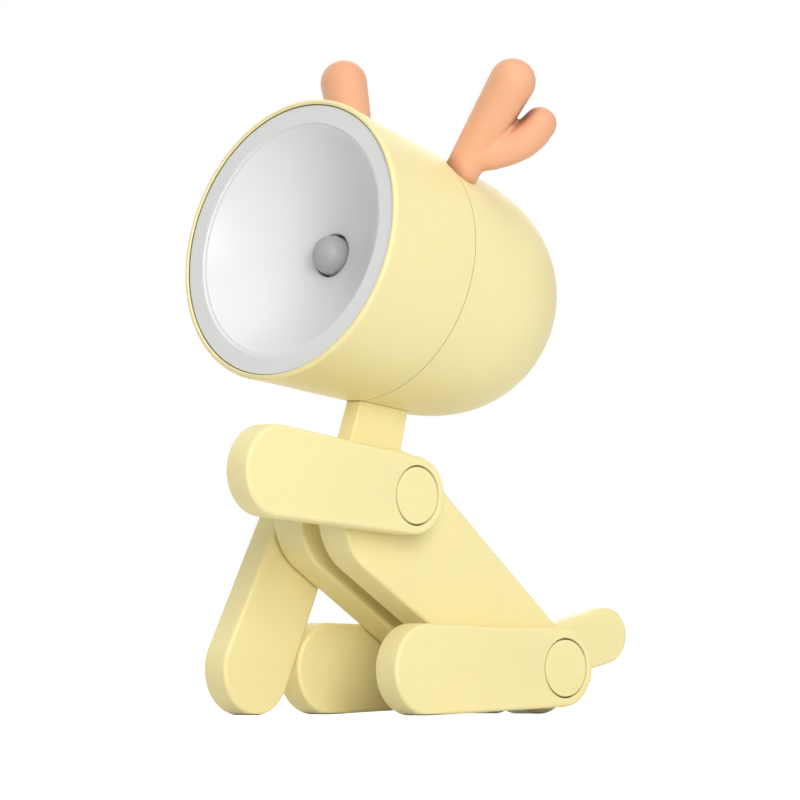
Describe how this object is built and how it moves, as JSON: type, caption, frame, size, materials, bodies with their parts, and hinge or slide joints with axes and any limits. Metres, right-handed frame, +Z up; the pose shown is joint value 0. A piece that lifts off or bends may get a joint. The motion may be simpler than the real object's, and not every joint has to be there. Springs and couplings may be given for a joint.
{
  "type": "animal desk lamp",
  "caption": "Small folding deer-shaped desk lamp: round lamp head with reflector and antlers on a neck bar, body plates, swinging legs and tail, push switch at the back of the head.",
  "frame": {"origin": "middle of the lamp's outer box, on the table plane it sits on", "axes": "+Z up, -Y the way the animal faces, +X to the animal's left, across the width"},
  "size_m": [0.0452, 0.0932, 0.0999],
  "materials": {
    "body_yellow": "satin moulded plastic",
    "antler_peach": "soft satin plastic",
    "reflector_white": "satin white",
    "frosted_lamp": "frosted",
    "board": "solder mask",
    "steel": "plated",
    "cell_can": "bright",
    "inner_black": "matte",
    "wire_skin": "satin"
  },
  "bodies": {
    "torso": {"torso_plate_left": "body_yellow", "torso_plate_right": "body_yellow", "shoulder_axle": "steel", "hip_axle": "steel", "pivot_screws": "steel", "pivot_washers": "steel"},
    "head": {"front_shell": "body_yellow", "rear_shell": "body_yellow", "reflector_cup": "reflector_white", "led_lamp": "frosted_lamp", "led_board": "board", "board_screws": "steel", "battery_spring": "steel", "button_cells": "cell_can", "battery_holder": "inner_black", "rear_contact": "steel", "holder_screws": "steel", "switch_body": "inner_black", "lead_wires": "wire_skin", "antler_left": "antler_peach", "antler_right": "antler_peach", "neck_bar": "body_yellow", "neck_screws": "steel"},
    "button": {"switch_button": "antler_peach"},
    "front_left": {"front_leg_left": "body_yellow", "shoulder_cap_left": "body_yellow"},
    "front_right": {"front_leg_right": "body_yellow", "shoulder_cap_right": "body_yellow"},
    "hind_left": {"hind_leg_left": "body_yellow", "hip_cap_left": "body_yellow"},
    "hind_right": {"hind_leg_right": "body_yellow", "hip_cap_right": "body_yellow"},
    "tail": {"tail": "body_yellow"}
  },
  "joints": [
    {"name": "neck_tilt", "type": "hinge", "parent": "torso", "child": "head", "pos_m": [0, -0.01028, 0.03342], "axis": [1, 0, 0], "range_deg": [-35, 9]},
    {"name": "switch_press", "type": "slide", "parent": "head", "child": "button", "axis": [0, -0.9659, 0.2588], "range_m": [0, 0.0012], "stiffness_N_per_m": 800, "springref_m": -0.001},
    {"name": "front_left_swing", "type": "hinge", "parent": "torso", "child": "front_left", "pos_m": [0, -0.01028, 0.03342], "axis": [1, 0, 0], "range_deg": [-12, 68]},
    {"name": "front_right_swing", "type": "hinge", "parent": "torso", "child": "front_right", "pos_m": [0, -0.01028, 0.03342], "axis": [1, 0, 0], "range_deg": [-82, 0]},
    {"name": "hind_left_swing", "type": "hinge", "parent": "torso", "child": "hind_left", "pos_m": [0, 0.02177, 0.007], "axis": [1, 0, 0], "range_deg": [0, 120]},
    {"name": "hind_right_swing", "type": "hinge", "parent": "torso", "child": "hind_right", "pos_m": [0, 0.02177, 0.007], "axis": [1, 0, 0], "range_deg": [0, 120]},
    {"name": "tail_swing", "type": "hinge", "parent": "torso", "child": "tail", "pos_m": [0, 0.02177, 0.007], "axis": [1, 0, 0], "range_deg": [-18, 45]}
  ]
}
